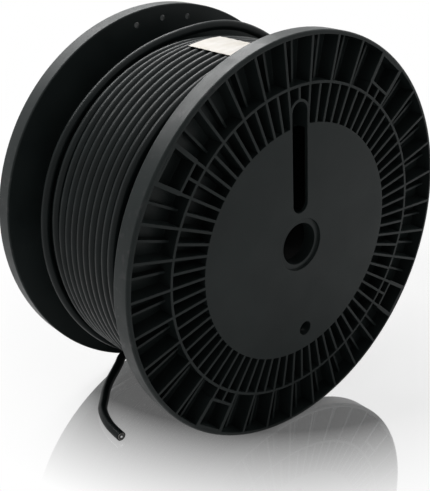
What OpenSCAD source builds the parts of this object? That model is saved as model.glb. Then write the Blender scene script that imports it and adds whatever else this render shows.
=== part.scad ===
// Moulded plastic cable drum with its cable, lying on its rims.
// Millimetres. Z is up, Y is the axle, and the front flange faces -Y.
// The origin is on the floor, midway between the flanges.

/* [Drum] */
// Diameter of both flanges
flange_d = 400; // [360:1:480]
// Width over the outer faces of the flanges
drum_w = 222; // [180:1:280]
// Outer diameter of the barrel
barrel_d = 240; // [200:1:246]
// Wall of the barrel
barrel_wall = 4; // [2.5:0.5:8]

/* [Flange] */
// Depth of a flange along the axle, from its inner to its outer face
flange_depth = 20; // [14:0.5:26]
// Thickness of the web on the inner face
web_t = 3; // [2:0.5:5]
// Radial thickness of the rim wall
rim_t = 4; // [3:0.5:9]
// Rounding of the rim's outer corner
rim_round = 2.5; // [1:0.5:5]
// Rounding of the rim's inner corner
rim_inner_round = 1.5; // [0.5:0.5:3]
// Diameter of the flat centre disc
disc_d = 236; // [190:1:246]
// Thickness of the flat centre disc
disc_t = 3.5; // [2.5:0.5:6]
// Wall under the edge of the centre disc
disc_wall = 4; // [2.5:0.5:6]
// Diameter of the ring rib, at the middle of its wall
ring_d = 309; // [280:1:330]
// Thickness of the ring rib and of all radial ribs
rib_t = 2.5; // [1.5:0.1:4]
// Number of radial ribs inside the ring, a multiple of 8
inner_ribs = 72; // [56:8:80]
// How far the low outer ribs stay below the outer face
low_rib_drop = 9; // [5:0.5:12]
// Length of the spigot that plugs into the barrel
spigot_len = 18; // [8:1:30]
// Gap between the spigot and the barrel, on the radius
spigot_gap = 0.2; // [0.1:0.05:0.5]

/* [Box pockets] */
// Number of box pockets round the rim
pockets = 4; // [2:1:6]
// Angle of the first box pocket from the cable slot
pocket_angle = -40; // [-60:10:-20]
// Radius of a pocket's cross bar
pocket_bar_r = 167; // [162:1:175]
// Thickness of a pocket's side walls
pocket_wall = 4; // [3:0.5:7]
// Thickness of the bar that closes a pocket at the rim
pocket_rim_bar = 2; // [1:0.5:7]

/* [Bores and slot] */
// Diameter of the arbor bore
bore_d = 42; // [30:1:44]
// Diameter of the recess at the mouth of the bore
mouth_d = 53; // [46:1:54]
// Depth of the recess at the mouth of the bore
mouth_depth = 2.5; // [2:0.5:8]
// Wall round the bore
bore_wall = 4; // [3:0.5:5]
// Length of the bore in each flange
bore_len = 16; // [11:0.5:18]
// Diameter of the drive hole
drive_d = 15; // [10:0.5:20]
// Distance of the drive hole from the axle
drive_r = 96; // [70:1:100]
// Angle of the drive hole from the cable slot
drive_angle = 183; // [150:1:210]
// Wall round the drive hole
drive_wall = 2.5; // [1.5:0.5:4]
// Length of the drive hole
drive_len = 12; // [5:0.5:18]
// Width of the cable slot
slot_w = 19; // [12:0.5:20]
// Distance of the slot's inner end from the axle
slot_r0 = 33; // [31:0.5:60]
// Distance of the slot's outer end from the axle
slot_r1 = 140; // [126:1:148]
// Wall round the slot's outer end
slot_wall = 2.5; // [1.5:0.5:3.5]
// Angle of the slot, counter-clockwise from +X, on both flanges seen from the front
slot_angle = 94; // [60:1:120]
// Diameter of the cable tie holes near the rim
tie_d = 6; // [4:0.5:8]
// Distance of the tie holes from the rim wall
tie_edge = 9; // [5:0.5:15]
// Angle of the middle tie hole from the slot
tie_angle = 2; // [1.5:0.1:2.8]

/* [Cable] */
// Outer diameter of the cable
cable_d = 10; // [9:0.1:10.1]
// Distance between neighbouring turns
turn_pitch = 10.1; // [10:0.1:12]
// Rise from one layer of turns to the next
layer_rise = 9.5; // [8.5:0.1:10]
// Number of layers on the barrel
layers = 6; // [3:1:6]
// Turns missing from the top layer beside the front flange
top_late = 2; // [0:1:6]
// Turns missing from the top layer at its other end
top_short = 1; // [0:1:6]
// Gap between the winding and each flange
side_gap = 0.5; // [0.2:0.1:3]

/* [Label] */
// Size of the label round the winding
label_len = 39; // [20:1:80]
// Size of the label along the axle
label_w = 70; // [30:1:90]
// Thickness of the label
label_t = 0.4; // [0.2:0.1:0.8]
// Distance of the label from the front flange
label_from_flange = 30; // [10:1:60]
// Angle of the label's middle, counter-clockwise from +X
label_angle = 96; // [60:1:120]

/* [Hidden] */
$fn = 96;
eps = 1;
seat_gap = 0.1;

flange_r = flange_d / 2;
rim_r = flange_r - rim_t;
rib_end_r = rim_r + rim_t / 8;
disc_r = disc_d / 2;
ring_r = ring_d / 2;
barrel_r = barrel_d / 2;
barrel_bore_r = barrel_r - barrel_wall;
spigot_r = barrel_bore_r - spigot_gap;
inner_w = drum_w - 2 * flange_depth;
rib_step = 360 / inner_ribs;
cell_step = 2 * rib_step;
cells = inner_ribs / 2;
rib_root = web_t / 2;
tie_r = rim_r - tie_edge;
far_turn_y = inner_w / 2 - side_gap - cable_d / 2;
first_turn_y = -far_turn_y;
first_turns = floor((far_turn_y - first_turn_y) / turn_pitch) + 1;
label_y = -inner_w / 2 + label_from_flange + label_w / 2;

// Numbers of the first and the last turn in a layer, which ends half a turn short of the one below it
function first_in(layer) = layer == top_layer ? top_late : 0;
function last_in(layer) = first_turns - 1 - ceil(layer / 2) - (layer == top_layer ? top_short : 0);
function layer_r(layer) = barrel_r + seat_gap + cable_d / 2 + layer * layer_rise;
// The even layers start at the front flange, and the odd ones lie half a turn further back
function turn_y(layer, i) = first_turn_y + turn_pitch * (i + layer % 2 / 2);
function is_pocket(cell) =
    len([for (p = [0 : pockets - 1]) if (abs(cell_offset(cell, p)) < cell_step / 2) p]) > 0;
function cell_offset(cell, p) =
    let (d = cell * cell_step - pocket_angle - p * 360 / pockets + 720)
    (d + 180) % 360 - 180;
top_layer = layers - 1;
top_r = layer_r(top_layer);
winding_r = top_r + cable_d / 2;
last_turn_y = turn_y(top_layer, last_in(top_layer));

// The loose turn: angle, rise above the top layer, distance along the axle from its last turn
loose_turn = [
    [60, 0.3, 10.25], [30, 0.9, 10.25], [0, 2.4, 10.25], [-30, 4.4, 10.25], [-60, 5.9, 11.25],
    [-90, 6.4, 13.25], [-120, 6.2, 15.25], [-150, 5, 16.75], [-180, 4.5, 17.25], [-210, 3.8, 17.25],
    [-240, 1.3, 15.25], [-265, 4.3, 12.25], [-290, 14.4, 12.25], [-315, 19.4, 12.75], [-340, 20.4, 16.25],
    [-365, 18.4, 22.25], [-395, 14.4, 30.25], [-425, 11.4, 36.25], [-450, 9.4, 39.25]
];
// The free end, from below the drum along the floor to the cut end
free_end = [
    [-30, 81.5, 18.5], [-60, 82.5, 20], [-82, 80, 20], [-93, 73.5, 16.5], [-103, 67.5, 13],
    [-114.5, 60, 10], [-126, 50, 7.5], [-137, 37.5, 6], [-146, 26.5, 5.3], [-152, 13.5, 5.3],
    [-156, -1, 5.3], [-157.5, -13.5, 5.3], [-158, -25.5, 5.3]
];
tail_sides = 10;
loose_steps = 3;
free_steps = 2;

// Point at share t between points i and i + 1 of a smooth curve through all the points
function smooth_at(pts, i, t) =
    let (
        last = len(pts) - 1,
        a = pts[max(i - 1, 0)],
        b = pts[i],
        c = pts[min(i + 1, last)],
        d = pts[min(i + 2, last)]
    )
    b + t / 2 * ((c - a) + t * ((2 * a - 5 * b + 4 * c - d) + t * (3 * b - a - 3 * c + d)));
function smooth_route(pts, steps) = concat(
    [for (i = [0 : len(pts) - 2], k = [0 : steps - 1]) smooth_at(pts, i, k / steps)],
    [pts[len(pts) - 1]]
);
function on_drum(p) =
    let (r = top_r + p[1])
    [r * cos(p[0]), last_turn_y + p[2], flange_r + r * sin(p[0])];
// The route stays clear of the back flange
function kept_inside(p) = [p[0], min(p[1], far_turn_y), p[2]];
loose_route = [for (p = smooth_route(loose_turn, loose_steps)) on_drum(p)];
free_route = smooth_route(concat([loose_route[len(loose_route) - 1]], free_end), free_steps);
tail_points = concat(loose_route, [for (i = [1 : len(free_route) - 1]) free_route[i]]);
tail_route = [for (p = tail_points) kept_inside(p)];

function unit(v) = v / norm(v);
function direction_at(pts, i) = unit(pts[min(i + 1, len(pts) - 1)] - pts[max(i - 1, 0)]);
// Sideways directions carried along the route, so that the tube doesn't twist
function side_at(pts, i, side) =
    let (along = direction_at(pts, i), flat = unit(side - (side * along) * along))
    i == len(pts) - 1 ? [flat] : concat([flat], side_at(pts, i + 1, flat));

// Tube of round section along a list of points
module tube(pts, d, sides) {
    side = side_at(pts, 0, [0, 1, 0]);
    rings = len(pts);
    corners = [
        for (i = [0 : rings - 1], k = [0 : sides - 1])
            let (up = cross(direction_at(pts, i), side[i]), a = 360 * (k + 0.5) / sides)
            pts[i] + d / 2 * (cos(a) * side[i] + sin(a) * up)
    ];
    walls = [
        for (i = [0 : rings - 2], k = [0 : sides - 1])
            let (n = (k + 1) % sides)
            [i * sides + k, (i + 1) * sides + k, (i + 1) * sides + n, i * sides + n]
    ];
    caps = [
        [for (k = [0 : sides - 1]) k],
        [for (k = [sides - 1 : -1 : 0]) (rings - 1) * sides + k]
    ];
    polyhedron(points = corners, faces = concat(walls, caps), convexity = 10);
}

// Places a shape made along Z so that its axis is the axle
module on_axle() {
    translate([0, 0, flange_r])
        rotate([90, 0, 0])
            children();
}

// Corner to take off a section so that a round of radius r is left
module corner_cut(r) {
    difference() {
        translate([-r, -r])
            square(r + eps);
        translate([-r, -r])
            circle(r);
    }
}

// Section of everything on a flange that is turned about the axle
module flange_section() {
    difference() {
        translate([rim_r, 0])
            square([rim_t, flange_depth]);
        translate([flange_r, flange_depth])
            corner_cut(rim_round);
        translate([flange_r, 0])
            mirror([0, 1])
                corner_cut(rim_inner_round);
    }
    translate([disc_r - disc_wall, 0])
        square([rim_r + eps - disc_r + disc_wall, web_t]);
    translate([ring_r - rib_t / 2, 0])
        square([rib_t, flange_depth]);
    translate([disc_r - disc_wall, 0])
        square([disc_wall, flange_depth]);
    translate([spigot_r - disc_wall, -spigot_len])
        square([disc_wall, spigot_len + web_t]);
    translate([mouth_d / 2, flange_depth - disc_t])
        square([disc_r - mouth_d / 2, disc_t]);
    translate([bore_d / 2, flange_depth - bore_len])
        square([mouth_d / 2 + bore_wall - bore_d / 2, bore_len - mouth_depth]);
    translate([mouth_d / 2, flange_depth - bore_len])
        square([bore_wall, bore_len]);
}

// Plan of a bar from radius r0 to r1 at an angle
module bar(angle, r0, r1, t) {
    rotate(angle)
        translate([r0, -t / 2])
            square([r1 - r0, t]);
}

// Plan of all ribs that reach the outer face, with angle 0 at the slot
module full_ribs() {
    for (i = [0 : inner_ribs - 1])
        bar(i * rib_step, disc_r - eps, ring_r, rib_t);
    for (i = [0 : cells - 1])
        bar((i + 0.5) * cell_step, ring_r, rib_end_r, rib_t);
    for (p = [0 : pockets - 1])
        rotate(pocket_angle + p * 360 / pockets)
            pocket();
    difference() {
        translate([disc_r - eps, -slot_w / 2 - slot_wall])
            square([slot_r1 - slot_w / 2 - disc_r + eps, slot_w + 2 * slot_wall]);
        circle(disc_r - disc_wall / 2);
    }
    translate([slot_r1 - slot_w / 2, 0])
        circle(slot_w / 2 + slot_wall);
}

// Plan of one box pocket at the rim, about angle 0
module pocket() {
    half = pocket_bar_r * tan(cell_step / 2);
    translate([pocket_bar_r - rib_t / 2, -half])
        square([rib_t, 2 * half]);
    bar(0, ring_r, pocket_bar_r, rib_t);
    for (side = [-1, 1])
        bar(side * cell_step / 2, pocket_bar_r, rib_end_r, pocket_wall);
    rim_half = rim_r * sin(cell_step / 2);
    translate([rim_r * cos(cell_step / 2) - pocket_rim_bar, -rim_half])
        square([pocket_rim_bar + rib_end_r - rim_r, 2 * rim_half]);
}

// Plan of the low ribs in the middle of the outer cells
module low_ribs() {
    for (i = [0 : cells - 1])
        if (!is_pocket(i))
            bar(i * cell_step, ring_r, rib_end_r, rib_t);
}

// Plan of the cable slot
module slot() {
    translate([slot_r0 + slot_w / 2, -slot_w / 2])
        square([slot_r1 - slot_r0 - slot_w, slot_w]);
    for (r = [slot_r0 + slot_w / 2, slot_r1 - slot_w / 2])
        translate([r, 0])
            circle(d = slot_w);
}

// One flange moulding: inner face at z = 0, outer face up, slot along +X
module flange() {
    difference() {
        union() {
            rotate_extrude()
                flange_section();
            translate([0, 0, rib_root])
                linear_extrude(flange_depth - rib_root)
                    full_ribs();
            translate([0, 0, rib_root])
                linear_extrude(flange_depth - low_rib_drop - rib_root)
                    low_ribs();
            rotate(drive_angle)
                translate([drive_r, 0, flange_depth - drive_len])
                    cylinder(d = drive_d + 2 * drive_wall, h = drive_len);
        }
        translate([0, 0, -spigot_len - eps])
            linear_extrude(flange_depth + spigot_len + 2 * eps)
                slot();
        rotate(drive_angle)
            translate([drive_r, 0, flange_depth - drive_len - eps])
                cylinder(d = drive_d, h = drive_len + 2 * eps);
        for (i = [-1 : 1])
            rotate(tie_angle + i * cell_step)
                translate([tie_r, 0, -eps])
                    cylinder(d = tie_d, h = web_t + 2 * eps);
    }
}

module front_flange() {
    color("#2b2c2e")
        on_axle()
            translate([0, 0, inner_w / 2])
                rotate(slot_angle)
                    flange();
}

module back_flange() {
    color("#2b2c2e")
        on_axle()
            rotate(slot_angle)
                rotate([180, 0, 0])
                    translate([0, 0, inner_w / 2])
                        flange();
}

module barrel() {
    color("#232426")
        on_axle()
            difference() {
                cylinder(r = barrel_r, h = inner_w, center = true);
                cylinder(r = barrel_bore_r, h = inner_w + 2 * eps, center = true);
            }
}

// Turned solid of the winding, with every turn that shows as a round
module cable_winding() {
    color("#1d1e20")
        translate([0, 0, flange_r])
            rotate([-90, 0, 0])
                rotate_extrude()
                    winding_section();
}

module winding_section() {
    near = [for (k = [0 : top_layer]) [layer_r(k), turn_y(k, first_in(k))]];
    far = [for (k = [top_layer : -1 : 0]) [layer_r(k), turn_y(k, last_in(k))]];
    foot = barrel_r + seat_gap;
    polygon(concat([[foot, near[0][1]]], near, far, [[foot, far[top_layer][1]]]));
    for (p = concat(near, far))
        translate(p)
            circle(d = cable_d);
    for (i = [first_in(top_layer) + 1 : last_in(top_layer) - 1])
        translate([top_r, turn_y(top_layer, i)])
            circle(d = cable_d);
}

module cable_tail() {
    color("#1d1e20")
        tube(tail_route, cable_d, tail_sides);
}

module label() {
    span = label_len / winding_r * 180 / PI;
    color("#f1f1ee")
        translate([0, label_y, flange_r])
            rotate([90, 0, 0])
                rotate(label_angle - span / 2)
                    rotate_extrude(angle = span)
                        translate([winding_r + seat_gap, -label_w / 2])
                            square([label_t, label_w]);
}

front_flange();
back_flange();
barrel();
cable_winding();
cable_tail();
label();
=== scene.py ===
"""Looks of the plastic cable drum: finishes, wound turns of cable, loose end and label."""

import math

import bpy
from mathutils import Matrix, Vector, noise


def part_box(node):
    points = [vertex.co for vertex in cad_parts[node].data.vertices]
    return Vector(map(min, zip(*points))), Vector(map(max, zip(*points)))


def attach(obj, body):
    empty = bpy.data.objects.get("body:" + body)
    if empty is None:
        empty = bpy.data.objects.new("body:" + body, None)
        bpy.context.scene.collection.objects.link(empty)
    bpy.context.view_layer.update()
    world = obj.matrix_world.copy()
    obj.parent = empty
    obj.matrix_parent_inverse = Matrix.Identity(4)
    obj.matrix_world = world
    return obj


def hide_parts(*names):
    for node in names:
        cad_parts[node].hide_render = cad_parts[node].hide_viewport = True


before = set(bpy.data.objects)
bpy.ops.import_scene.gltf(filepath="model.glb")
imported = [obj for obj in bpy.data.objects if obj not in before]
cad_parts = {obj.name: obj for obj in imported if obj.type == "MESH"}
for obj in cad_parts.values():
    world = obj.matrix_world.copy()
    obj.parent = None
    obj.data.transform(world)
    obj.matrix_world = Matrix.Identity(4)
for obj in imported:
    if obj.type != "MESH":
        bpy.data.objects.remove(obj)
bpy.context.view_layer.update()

BODY = "root"

# Sizes in metres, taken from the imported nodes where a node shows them
FLANGE_LOW, FLANGE_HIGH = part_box("front_flange")
FLANGE_R = (FLANGE_HIGH.z - FLANGE_LOW.z) / 2
AXLE = Vector((0, 0, FLANGE_LOW.z + FLANGE_R))
WINDING_LOW, WINDING_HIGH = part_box("cable_winding")
WINDING_R = (WINDING_HIGH.z - WINDING_LOW.z) / 2
LABEL_LOW, LABEL_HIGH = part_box("label")
CABLE_D = 0.010
CABLE_R = CABLE_D / 2
TURN_PITCH = 0.0101
LAYER_RISE = 0.0095
LAYERS = 6
LAST_IN_LAYER = (16, 15, 15, 14, 14, 12)
FIRST_IN_TOP = 3
TOP = LAYERS - 1
TOP_R = WINDING_R - CABLE_R
FIRST_TURN_Y = WINDING_LOW.y + CABLE_R

# Camera at the photograph's place: angles in degrees, distance in metres, picture in pixels
PICTURE_H = 491
FOCAL_PX = 842
SENSOR_MM = 36
CAMERA_AZIMUTH = -40.86
CAMERA_ELEVATION = 21.83
CAMERA_DISTANCE = 0.878
AIM_AZIMUTH = CAMERA_AZIMUTH + 0.71
AIM_ELEVATION = CAMERA_ELEVATION + 2.32


def direction(azimuth, elevation):
    """Unit vector from the drum towards a viewer at these angles."""
    a = math.radians(azimuth)
    e = math.radians(elevation)
    return Vector((math.sin(a) * math.cos(e), -math.cos(a) * math.cos(e), math.sin(e)))


def make_camera():
    data = bpy.data.cameras.new("camera")
    data.sensor_width = SENSOR_MM
    data.lens = FOCAL_PX / PICTURE_H * SENSOR_MM
    camera = bpy.data.objects.new("camera", data)
    bpy.context.scene.collection.objects.link(camera)
    camera.location = AXLE + CAMERA_DISTANCE * direction(CAMERA_AZIMUTH, CAMERA_ELEVATION)
    camera.rotation_mode = "QUATERNION"
    camera.rotation_quaternion = direction(AIM_AZIMUTH, AIM_ELEVATION).to_track_quat("Z", "Y")
    bpy.context.scene.camera = camera


make_camera()


def on_drum(angle, radius, along):
    """Point at an angle round the axle, in radians, a radius and a place along it."""
    return Vector((radius * math.cos(angle), along, AXLE.z + radius * math.sin(angle)))


def layer_r(layer):
    return TOP_R - (TOP - layer) * LAYER_RISE


def turn_y(layer, i):
    """Place of a turn along the axle. The odd layers lie half a turn further back."""
    return FIRST_TURN_Y + TURN_PITCH * (i + layer % 2 / 2)


LAST_TURN_Y = turn_y(TOP, LAST_IN_LAYER[TOP])
# The loose turn: degrees, rise above the top layer, distance along the axle from its last turn
LOOSE_TURN = [
    (60, 0.0003, 0.01025), (30, 0.0009, 0.01025), (0, 0.0024, 0.01025),
    (-30, 0.0044, 0.01025), (-60, 0.0059, 0.01125), (-90, 0.0064, 0.01325),
    (-120, 0.0062, 0.01525), (-150, 0.005, 0.01675), (-180, 0.0045, 0.01725),
    (-210, 0.0038, 0.01725), (-240, 0.0013, 0.01525), (-265, 0.0043, 0.01225),
    (-290, 0.0144, 0.01225), (-315, 0.0194, 0.01275), (-340, 0.0204, 0.01625),
    (-365, 0.0184, 0.02225), (-395, 0.0144, 0.03025), (-425, 0.0114, 0.03625),
    (-450, 0.0094, 0.03925),
]
# The free end, from below the drum along the floor to the cut
FREE_END = [
    (-0.030, 0.0815, 0.0185), (-0.060, 0.0825, 0.020), (-0.082, 0.080, 0.020),
    (-0.093, 0.0735, 0.0165), (-0.103, 0.0675, 0.013), (-0.1145, 0.060, 0.010),
    (-0.126, 0.050, 0.0075), (-0.137, 0.0375, 0.006), (-0.146, 0.0265, 0.0053),
    (-0.152, 0.0135, 0.0053), (-0.156, -0.001, 0.0053), (-0.1575, -0.0135, 0.0053),
    (-0.158, -0.0255, 0.0053),
]
CORD_ROUND_STEPS = 6
CORD_LONG_STEPS = 14


def slopes(points):
    """Slope of a smooth curve through the points at each of them, for a step of one point."""
    last = len(points) - 1
    return [(points[min(i + 1, last)] - points[max(i - 1, 0)]) / 2 for i in range(last + 1)]


def cord_knots():
    """Each point of the route with its two handles."""
    polar = [Vector((math.radians(a), TOP_R + r, LAST_TURN_Y + y)) for a, r, y in LOOSE_TURN]
    knots = []
    for p, s in zip(polar, slopes(polar)):
        out = Vector((math.cos(p.x), 0, math.sin(p.x)))
        round_ = Vector((-math.sin(p.x), 0, math.cos(p.x)))
        reach = (s.y * out + p.y * s.x * round_ + Vector((0, s.z, 0))) / 3
        place = on_drum(*p)
        knots.append([place, place - reach, place + reach])
    free = [knots[-1][0]] + [Vector(p) for p in FREE_END]
    free_slopes = slopes(free)
    knots[-1][2] = free[0] + free_slopes[0] / 3
    for p, s in zip(free[1:], free_slopes[1:]):
        knots.append([p, p - s / 3, p + s / 3])
    return knots


def make_cord(knots):
    data = bpy.data.curves.new("loose_cable", "CURVE")
    data.dimensions = "3D"
    data.bevel_depth = 1.0
    data.bevel_resolution = CORD_ROUND_STEPS
    data.resolution_u = CORD_LONG_STEPS
    data.use_fill_caps = True
    spline = data.splines.new("BEZIER")
    spline.bezier_points.add(len(knots) - 1)
    for point, (place, before, after) in zip(spline.bezier_points, knots):
        point.co = place
        point.radius = CABLE_R
        point.handle_left_type = "FREE"
        point.handle_right_type = "FREE"
        point.handle_left = before
        point.handle_right = after
    cord = bpy.data.objects.new("loose_cable", data)
    bpy.context.scene.collection.objects.link(cord)
    return cord


KNOTS = cord_knots()
loose_cable = make_cord(KNOTS)
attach(loose_cable, BODY)
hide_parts("cable_tail")


# Mesh helpers
def mesh_piece(name, points, faces, smooth=True):
    data = bpy.data.meshes.new(name)
    data.from_pydata(points, [], faces)
    data.update()
    data.polygons.foreach_set("use_smooth", [smooth] * len(data.polygons))
    made = bpy.data.objects.new(name, data)
    bpy.context.scene.collection.objects.link(made)
    return made


def tube(path, radius, sides, closed):
    """Points and faces of a round tube along a path about the axle, capped unless it is closed."""
    count = len(path)
    points = []
    for i, place in enumerate(path):
        after = path[(i + 1) % count] if closed else path[min(i + 1, count - 1)]
        before = path[i - 1] if closed else path[max(i - 1, 0)]
        forward = (after - before).normalized()
        outward = place - AXLE
        outward.y = 0
        side = forward.cross(outward).normalized()
        up = side.cross(forward)
        for k in range(sides):
            turn = 2 * math.pi * k / sides
            points.append(place + radius * (math.cos(turn) * side + math.sin(turn) * up))
    faces = []
    for i in range(count if closed else count - 1):
        row = i * sides
        next_row = (i + 1) % count * sides
        for k in range(sides):
            n = (k + 1) % sides
            faces.append((row + k, row + n, next_row + n, next_row + k))
    if not closed:
        faces.append(tuple(reversed(range(sides))))
        faces.append(tuple(range((count - 1) * sides, count * sides)))
    return points, faces


def lathe(profile, place, along, steps):
    """Points and faces of a profile of (radius, height) turned about a line, closed on the line."""
    turned = along.to_track_quat("Z", "Y").to_matrix()
    points = []
    for radius, height in profile:
        for k in range(steps):
            a = 2 * math.pi * k / steps
            spot = Vector((radius * math.cos(a), radius * math.sin(a), height))
            points.append(place + turned @ spot)
    faces = []
    for i in range(len(profile) - 1):
        for k in range(steps):
            n = (k + 1) % steps
            faces.append((i * steps + k, i * steps + n, (i + 1) * steps + n, (i + 1) * steps + k))
    faces.append(tuple(reversed(range(steps))))
    faces.append(tuple(range((len(profile) - 1) * steps, len(profile) * steps)))
    return points, faces


# The wound turns
TURN_STEPS = 144
TURN_SIDES = 14
# Each turn of the top layer runs straight from this angle, and steps over in the rest of its turn
STRAIGHT_FROM = math.radians(240)
STEP_SHARE = 0.5
# Where the last turn goes over to the loose turn
LEAVE_FROM = math.radians(88)
LEAVE_TO = math.radians(LOOSE_TURN[0][0])
# Unevenness of the turns, and how fast it changes round a turn and from one to the next
RADIAL_PLAY = 0.00035
SIDE_PLAY = 0.00012
PLAY_ROUND = 2.2
PLAY_BY_TURN = 3.7
PLAY_BY_LAYER = 11.3
PLAY_SIDEWAYS = Vector((31, 17, 5))
# How far the last turn and the one before it have slid back, on a stretch between two angles
SLACK = (0.0038, 0.0008)
SLACK_LOW = math.radians(118)
SLACK_HIGH = math.radians(197)
SLACK_FALL = math.radians(45)
SLACK_RISE = math.radians(32)
# How far the first and the last turn of the top layer lie towards the front flange
# on their way over the top
DRIFT_FIRST = 0.0065
DRIFT_LAST = 0.001
DRIFT_FROM = math.radians(155)
DRIFT_OVER = math.radians(52)
# How deep the ends of the layers sink on top, where the turns lie closest
DIP = 0.0042
DIP_FROM = LAST_TURN_Y - 0.032
DIP_FULL = LAST_TURN_Y - 0.002
DIP_MIDDLE = math.radians(88)
DIP_HALF = math.radians(48)


def ease(t):
    t = min(max(t, 0), 1)
    return t * t * (3 - 2 * t)


def play(layer, turn, angle):
    """Small unevenness of a turn: outwards, and along the axle."""
    across = PLAY_ROUND * math.cos(angle)
    up = PLAY_ROUND * math.sin(angle)
    spot = Vector((across, up, PLAY_BY_TURN * turn + PLAY_BY_LAYER * layer))
    return (
        RADIAL_PLAY * (0.5 + 0.5 * noise.noise(spot)),
        SIDE_PLAY * noise.noise(spot + PLAY_SIDEWAYS),
    )


def drift(turn, angle):
    """How far a turn of the top layer lies towards the front flange."""
    share = (turn - FIRST_IN_TOP) / (LAST_IN_LAYER[TOP] - FIRST_IN_TOP)
    most = DRIFT_FIRST + (DRIFT_LAST - DRIFT_FIRST) * share
    over = ease((DRIFT_FROM - angle) / DRIFT_OVER)
    return most * over * (1 - ease((LEAVE_TO - angle) / math.pi))


def dip(layer, y, angle):
    """How far a turn near the far end lies below its layer's radius."""
    near_end = ease((y - DIP_FROM) / (DIP_FULL - DIP_FROM))
    off_top = abs((angle - DIP_MIDDLE + math.pi) % (2 * math.pi) - math.pi)
    return DIP * layer / TOP * near_end * ease(1 - off_top / DIP_HALF)


def ring(layer, i):
    path = []
    for k in range(TURN_STEPS):
        angle = 2 * math.pi * k / TURN_STEPS
        out, side = play(layer, i, angle)
        r = layer_r(layer) + out - dip(layer, turn_y(layer, i), angle)
        path.append(on_drum(angle, r, turn_y(layer, i) + side))
    return tube(path, CABLE_R, TURN_SIDES, True)


def top_layer():
    """The top layer, from its climb at the front flange to the start of the loose turn."""
    last = LAST_IN_LAYER[TOP]
    rise, beyond = LOOSE_TURN[0][1:]
    start = FIRST_IN_TOP - STEP_SHARE
    end = last + (STRAIGHT_FROM - LEAVE_TO) / (2 * math.pi)
    count = int((end - start) * TURN_STEPS)
    path = []
    for k in range(count + 1):
        at = start + (end - start) * k / count
        turn = math.floor(at)
        share = at - turn
        angle = STRAIGHT_FROM - 2 * math.pi * at
        out, side = play(TOP, turn, angle)
        climb = LAYER_RISE * (1 - ease((at - start) / STEP_SHARE))
        local = STRAIGHT_FROM - 2 * math.pi * share
        y = turn_y(TOP, max(turn, FIRST_IN_TOP)) + side
        if FIRST_IN_TOP <= turn < last:
            y += TURN_PITCH * ease((share - STEP_SHARE) / (1 - STEP_SHARE))
        r = TOP_R + out - climb - dip(TOP, y, angle)
        y -= drift(turn, local)
        if turn > last - len(SLACK):
            risen = ease((SLACK_HIGH - local) / SLACK_RISE)
            fallen = ease((local - SLACK_LOW) / SLACK_FALL)
            y += SLACK[last - turn] * (risen * fallen)
        if turn == last:
            left = ease((LEAVE_FROM - local) / (LEAVE_FROM - LEAVE_TO))
            y += (LAST_TURN_Y + beyond - y) * left
            r += (TOP_R + rise - r) * left
        path.append(on_drum(angle, r, y))
    return tube(path, CABLE_R, TURN_SIDES, False)


def join_shapes(shapes):
    points = []
    faces = []
    for more_points, more_faces in shapes:
        start = len(points)
        points.extend(more_points)
        faces.extend(tuple(start + v for v in face) for face in more_faces)
    return points, faces


def make_turns():
    """All turns that can be seen: the two top layers and both ends of the layers under them."""
    shapes = [top_layer()]
    for layer in range(TOP):
        last = LAST_IN_LAYER[layer]
        seen = range(last + 1) if layer == TOP - 1 else (0, 1, last - 1, last)
        shapes.extend(ring(layer, i) for i in seen)
    return mesh_piece("wound_cable", *join_shapes(shapes))


wound_cable = make_turns()
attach(wound_cable, BODY)
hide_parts("cable_winding")


# The cut end: screen, insulation and core, standing a little proud of the jacket
END_STEPS = 40
SCREEN_R = 0.0037
INSULATION_R = 0.0033
CORE_R = 0.0012
CUT_SINK = 0.0006
SCREEN_PROUD = 0.00015
INSULATION_PROUD = 0.00035
CORE_PROUD = 0.0009
CUT_CHAMFER = 0.00012


def cut_layer(name, radius, proud):
    end, before = KNOTS[-1][0], KNOTS[-1][1]
    along = (end - before).normalized()
    profile = (
        (radius, -CUT_SINK),
        (radius, proud - CUT_CHAMFER),
        (radius - CUT_CHAMFER, proud),
    )
    made = mesh_piece(name, *lathe(profile, end, along, END_STEPS), smooth=False)
    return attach(made, BODY)


cable_screen = cut_layer("cable_screen", SCREEN_R, SCREEN_PROUD)
cable_insulation = cut_layer("cable_insulation", INSULATION_R, INSULATION_PROUD)
cable_core = cut_layer("cable_core", CORE_R, CORE_PROUD)


# The label
LABEL_STEPS_ROUND = 36
LABEL_STEPS_ALONG = 84
LABEL_T = 0.0003
LABEL_SEAT = 0.00015
LABEL_SAG = 0.0002
LABEL_WAVE = 0.0005
# How fast the paper's waves change round the drum and along it, and the place in the noise
WAVE_ROUND = 9
WAVE_ALONG = 45
WAVE_SPOT = 2.6


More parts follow.
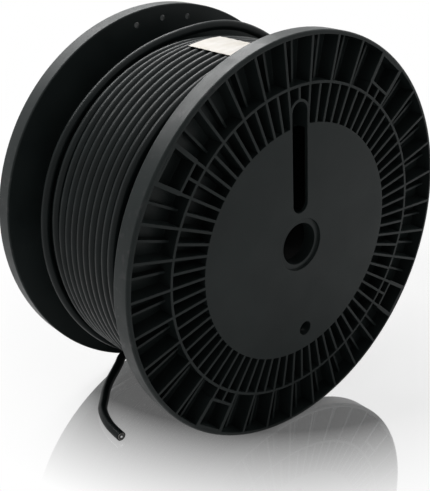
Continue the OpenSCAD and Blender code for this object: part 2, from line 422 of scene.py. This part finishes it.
def make_label():
    """Paper laid over the crests of the turns, sagging a little between them."""
    r = WINDING_R + RADIAL_PLAY
    start = math.atan2(LABEL_LOW.z - AXLE.z, LABEL_LOW.x)
    stop = math.acos(min(LABEL_HIGH.x / r, 1))
    points = []
    for side in (0, 1):
        for i in range(LABEL_STEPS_ROUND + 1):
            angle = start + (stop - start) * i / LABEL_STEPS_ROUND
            for k in range(LABEL_STEPS_ALONG + 1):
                y = LABEL_LOW.y + (LABEL_HIGH.y - LABEL_LOW.y) * k / LABEL_STEPS_ALONG
                between = 0.5 - 0.5 * math.cos(2 * math.pi * (y - LAST_TURN_Y) / TURN_PITCH)
                spot = Vector((angle * WAVE_ROUND, y * WAVE_ALONG, WAVE_SPOT))
                wave = 0.5 + 0.5 * noise.noise(spot)
                lift = LABEL_SEAT + LABEL_WAVE * wave - LABEL_SAG * between + side * LABEL_T
                points.append(on_drum(angle, r + lift, y))
    row = LABEL_STEPS_ALONG + 1
    sheet = row * (LABEL_STEPS_ROUND + 1)
    faces = []
    for i in range(LABEL_STEPS_ROUND):
        for k in range(LABEL_STEPS_ALONG):
            corners = (i * row + k, i * row + k + 1, (i + 1) * row + k + 1, (i + 1) * row + k)
            faces.append(tuple(reversed(corners)))
            faces.append(tuple(sheet + c for c in corners))
    edge = list(range(row))
    edge += [i * row + row - 1 for i in range(1, LABEL_STEPS_ROUND + 1)]
    edge += [LABEL_STEPS_ROUND * row + k for k in range(row - 2, -1, -1)]
    edge += [i * row for i in range(LABEL_STEPS_ROUND - 1, 0, -1)]
    for a, b in zip(edge, edge[1:] + edge[:1]):
        faces.append((a, b, sheet + b, sheet + a))
    return mesh_piece("paper_label", points, faces)


paper_label = make_label()
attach(paper_label, BODY)
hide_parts("label")


# Finishes: colours from dark to pale, and roughness
DRUM_COLOURS = ((0.0165, 0.0215, 0.0212, 1), (0.025, 0.032, 0.0316, 1))
DRUM_ROUGH = 0.38
# The barrel's black plastic, painted darker than the flanges as shade inside the bore and slot
BARREL_SHADED_COLOURS = ((0.005, 0.0062, 0.0064, 1), (0.0085, 0.0101, 0.0104, 1))
BARREL_ROUGH = 0.5
JACKET_COLOURS = ((0.006, 0.0085, 0.0085, 1), (0.0105, 0.0148, 0.015, 1))
JACKET_ROUGH = (0.3, 0.44)
LABEL_COLOURS = ((0.77, 0.725, 0.65, 1), (0.85, 0.82, 0.775, 1))
LABEL_ROUGH = (0.45, 0.62)
SCREEN_COLOURS = ((0.18, 0.17, 0.16, 1), (0.45, 0.43, 0.40, 1))
INSULATION_COLOURS = ((0.06, 0.06, 0.06, 1), (0.12, 0.12, 0.12, 1))
CORE_COLOURS = ((0.55, 0.55, 0.56, 1), (0.85, 0.85, 0.86, 1))
# Scuffs lie on the rim's outer few millimetres
SCUFF_COLOUR = (0.045, 0.046, 0.048, 1)
SCUFF_DEPTH = 0.004
SCUFF_FULL = 0.0005
EDGE_SOFTNESS = 0.0007


def new_material(name, **constants):
    """Material with its shader's constants set, underscores standing for spaces."""
    material = bpy.data.materials.new(name)
    material.use_nodes = True
    tree = material.node_tree
    shader = tree.nodes["Principled BSDF"]
    for socket, value in constants.items():
        shader.inputs[socket.replace("_", " ")].default_value = value
    return material, tree, shader


def add(tree, kind, inputs=None, **settings):
    """New shader node. A socket among the inputs is linked, and another value is set."""
    made = tree.nodes.new("ShaderNode" + kind)
    for name, value in settings.items():
        setattr(made, name, value)
    for name, value in (inputs or {}).items():
        if isinstance(value, bpy.types.NodeSocket):
            tree.links.new(value, made.inputs[name])
        else:
            made.inputs[name].default_value = value
    return made


def ramp(tree, factor, low, high, low_at, high_at):
    made = add(tree, "ValToRGB", {"Fac": factor})
    made.color_ramp.elements[0].position = low_at
    made.color_ramp.elements[0].color = low
    made.color_ramp.elements[1].position = high_at
    made.color_ramp.elements[1].color = high
    return made.outputs["Color"]


def spread(tree, factor, low, high, from_low=0.3, from_high=0.7):
    values = {
        "Value": factor,
        "From Min": from_low,
        "From Max": from_high,
        "To Min": low,
        "To Max": high,
    }
    return add(tree, "MapRange", values).outputs["Result"]


def grain(tree, place, scale, detail):
    values = {"Vector": place, "Scale": scale, "Detail": detail}
    return add(tree, "TexNoise", values).outputs["Fac"]


def moulded_plastic(name, colours, rough):
    """Black moulded plastic: faint clouds in colour and gloss, grain, soft edges, rim scuffs."""
    material, tree, shader = new_material(name, Specular_IOR_Level=0.13)
    place = add(tree, "TexCoord").outputs["Object"]
    cloud = grain(tree, place, 18, 5)
    base = ramp(tree, cloud, *colours, 0.3, 0.75)
    axes = add(tree, "SeparateXYZ", {"Vector": place})
    height = add(tree, "Math", {0: axes.outputs["Z"], 1: AXLE.z}, operation="SUBTRACT")
    flat = add(tree, "CombineXYZ", {"X": axes.outputs["X"], "Y": height.outputs[0]})
    radius = add(tree, "VectorMath", {0: flat.outputs[0]}, operation="LENGTH").outputs["Value"]
    on_rim = spread(tree, radius, 0, 1, FLANGE_R - SCUFF_DEPTH, FLANGE_R - SCUFF_FULL)
    scuff = spread(tree, grain(tree, place, 95, 7), 0, 1, 0.58, 0.7)
    worn = add(tree, "Math", {0: on_rim, 1: scuff}, operation="MULTIPLY").outputs[0]
    scuffed = {"Factor": worn, "A": base, "B": SCUFF_COLOUR}
    mix = add(tree, "Mix", scuffed, data_type="RGBA")
    tree.links.new(mix.outputs["Result"], shader.inputs["Base Color"])
    gloss = spread(tree, grain(tree, place, 42, 4), rough - 0.05, rough + 0.07)
    tree.links.new(gloss, shader.inputs["Roughness"])
    soft = add(tree, "Bevel", {"Radius": EDGE_SOFTNESS}, samples=4).outputs["Normal"]
    wave = {
        "Strength": 0.25,
        "Distance": 0.0004,
        "Height": grain(tree, place, 22, 2),
        "Normal": soft,
    }
    fine = {
        "Strength": 0.22,
        "Distance": 0.00008,
        "Height": grain(tree, place, 1500, 2),
        "Normal": add(tree, "Bump", wave).outputs["Normal"],
    }
    tree.links.new(add(tree, "Bump", fine).outputs["Normal"], shader.inputs["Normal"])
    return material


def cable_jacket():
    """Extruded black jacket: satin, a little uneven in colour and gloss, with a fine grain."""
    material, tree, shader = new_material("cable_jacket", Specular_IOR_Level=0.12)
    place = add(tree, "TexCoord").outputs["Object"]
    cloud = grain(tree, place, 30, 4)
    base = ramp(tree, cloud, *JACKET_COLOURS, 0.3, 0.75)
    tree.links.new(base, shader.inputs["Base Color"])
    gloss = spread(tree, grain(tree, place, 65, 5), *JACKET_ROUGH)
    tree.links.new(gloss, shader.inputs["Roughness"])
    broad = {"Strength": 0.2, "Distance": 0.0004, "Height": grain(tree, place, 90, 3)}
    fine = {
        "Strength": 0.15,
        "Distance": 0.00006,
        "Height": grain(tree, place, 1100, 2),
        "Normal": add(tree, "Bump", broad).outputs["Normal"],
    }
    tree.links.new(add(tree, "Bump", fine).outputs["Normal"], shader.inputs["Normal"])
    return material


def label_paper():
    """Bare white label stock with a faint tint and fibre."""
    material, tree, shader = new_material("label_paper", Specular_IOR_Level=0.3)
    place = add(tree, "TexCoord").outputs["Object"]
    cloud = grain(tree, place, 55, 4)
    base = ramp(tree, cloud, *LABEL_COLOURS, 0.3, 0.7)
    tree.links.new(base, shader.inputs["Base Color"])
    gloss = spread(tree, grain(tree, place, 160, 3), *LABEL_ROUGH)
    tree.links.new(gloss, shader.inputs["Roughness"])
    fibre = {"Strength": 0.3, "Distance": 0.00006, "Height": grain(tree, place, 900, 5)}
    tree.links.new(add(tree, "Bump", fibre).outputs["Normal"], shader.inputs["Normal"])
    return material


def cut_metal(name, colours):
    """Metal cut across, streaked by the blade."""
    material, tree, shader = new_material(name, Metallic=1.0)
    place = add(tree, "TexCoord").outputs["Object"]
    streak = grain(tree, place, 2600, 3)
    tree.links.new(ramp(tree, streak, *colours, 0.35, 0.65), shader.inputs["Base Color"])
    tree.links.new(spread(tree, streak, 0.25, 0.5), shader.inputs["Roughness"])
    mark = {"Strength": 0.5, "Distance": 0.0001, "Height": streak}
    tree.links.new(add(tree, "Bump", mark).outputs["Normal"], shader.inputs["Normal"])
    return material


def cut_insulation():
    """Grey insulation round the core, a little porous where it is cut."""
    material, tree, shader = new_material("cut_insulation", Specular_IOR_Level=0.4)
    place = add(tree, "TexCoord").outputs["Object"]
    cell = grain(tree, place, 1800, 4)
    base = ramp(tree, cell, *INSULATION_COLOURS, 0.35, 0.65)
    tree.links.new(base, shader.inputs["Base Color"])
    tree.links.new(spread(tree, cell, 0.4, 0.6), shader.inputs["Roughness"])
    pore = {"Strength": 0.4, "Distance": 0.0001, "Height": cell}
    tree.links.new(add(tree, "Bump", pore).outputs["Normal"], shader.inputs["Normal"])
    return material


def dress(piece, material):
    piece.data.materials.clear()
    piece.data.materials.append(material)


drum_plastic = moulded_plastic("drum_plastic", DRUM_COLOURS, DRUM_ROUGH)
# The barrel's darker colours are painted shade inside the bore, over its black plastic
barrel_plastic = moulded_plastic("barrel_plastic", BARREL_SHADED_COLOURS, BARREL_ROUGH)
jacket = cable_jacket()
for node in ("front_flange", "back_flange"):
    dress(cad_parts[node], drum_plastic)
dress(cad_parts["barrel"], barrel_plastic)
dress(wound_cable, jacket)
dress(loose_cable, jacket)
dress(paper_label, label_paper())
dress(cable_screen, cut_metal("cut_screen", SCREEN_COLOURS))
dress(cable_insulation, cut_insulation())
dress(cable_core, cut_metal("cut_core", CORE_COLOURS))


# Floor: its share of plain white grows from this least one between two distances from its middle
FLOOR_HALF = 6
FLOOR_COLOURS = ((0.84, 0.84, 0.84, 1), (0.88, 0.88, 0.88, 1))
FLOOR_MIDDLE = (0.15, 0.10, 0)
FLOOR_LEAST = 0.1
FLOOR_NEAR = 0.28
FLOOR_FAR = 0.42
FLOOR_POLISH = 0.75
POLISH_ROUGH = 0.03
WHITE = (1, 1, 1, 1)


def sharp_rays(tree):
    """1 for the rays of the camera, mirrors and glass, and 0 for light on the object."""
    rays = add(tree, "LightPath").outputs
    mirrored = {0: rays["Is Glossy Ray"], 1: rays["Is Transmission Ray"]}
    sharp = add(tree, "Math", mirrored, operation="MAXIMUM").outputs[0]
    either = {0: rays["Is Camera Ray"], 1: sharp}
    return add(tree, "Math", either, operation="MAXIMUM").outputs[0]


def floor_material():
    """Pale floor, polished to the camera, that turns plain white away from the drum."""
    material, tree, shader = new_material("floor", Specular_IOR_Level=0.3)
    place = add(tree, "TexCoord").outputs["Object"]
    cloud = grain(tree, place, 3, 2)
    base = ramp(tree, cloud, *FLOOR_COLOURS, 0.3, 0.7)
    tree.links.new(base, shader.inputs["Base Color"])
    tree.links.new(spread(tree, cloud, 0.4, 0.5), shader.inputs["Roughness"])
    seen = add(tree, "LightPath").outputs["Is Camera Ray"]
    polish = add(tree, "BsdfGlossy", {"Color": WHITE, "Roughness": POLISH_ROUGH})
    polished = add(tree, "Math", {0: seen, 1: FLOOR_POLISH}, operation="MULTIPLY").outputs[0]
    near = add(tree, "MixShader", {0: polished, 1: shader.outputs[0], 2: polish.outputs[0]})
    white = add(tree, "Emission", {"Color": WHITE, "Strength": 1.0})
    away = add(tree, "VectorMath", {0: place, 1: FLOOR_MIDDLE}, operation="DISTANCE")
    far = spread(tree, away.outputs["Value"], FLOOR_LEAST, 1, FLOOR_NEAR, FLOOR_FAR)
    share = add(tree, "Math", {0: far, 1: sharp_rays(tree)}, operation="MULTIPLY").outputs[0]
    mixed = add(tree, "MixShader", {0: share, 1: near.outputs[0], 2: white.outputs[0]})
    tree.links.new(mixed.outputs[0], tree.nodes["Material Output"].inputs["Surface"])
    return material


def make_floor():
    h = FLOOR_HALF
    corners = [(-h, -h, 0), (h, -h, 0), (h, h, 0), (-h, h, 0)]
    floor = mesh_piece("floor", corners, [(0, 1, 2, 3)], smooth=False)
    dress(floor, floor_material())


# Light: the world's strength on the object, and each lamp's name, place, size and watts
AMBIENT = 0.18
LAMPS = (
    ("back_top", (0.0, 0.95, 1.2), (1.5, 0.35), 18.5),
    ("above", (-0.25, 0.1, 1.5), (1.0, 1.0), 2.5),
)


def make_world():
    """White to the camera and in reflections, and a soft ambient light otherwise."""
    world = bpy.data.worlds.new("world")
    bpy.context.scene.world = world
    world.use_nodes = True
    tree = world.node_tree
    soft = tree.nodes["Background"]
    soft.inputs["Color"].default_value = WHITE
    soft.inputs["Strength"].default_value = AMBIENT
    white = add(tree, "Background", {"Color": WHITE, "Strength": 1.0})
    mixed = add(tree, "MixShader", {0: sharp_rays(tree), 1: soft.outputs[0], 2: white.outputs[0]})
    tree.links.new(mixed.outputs[0], tree.nodes["World Output"].inputs["Surface"])


def soft_box(name, place, size, watts):
    """Area lamp that faces the drum's middle."""
    data = bpy.data.lights.new(name, "AREA")
    data.shape = "RECTANGLE"
    data.size, data.size_y = size
    data.energy = watts
    lamp = bpy.data.objects.new(name, data)
    bpy.context.scene.collection.objects.link(lamp)
    lamp.location = place
    lamp.rotation_mode = "QUATERNION"
    lamp.rotation_quaternion = (Vector(place) - AXLE).to_track_quat("Z", "Y")


make_floor()
make_world()
for lamp in LAMPS:
    soft_box(*lamp)
bpy.context.scene.view_settings.view_transform = "Standard"
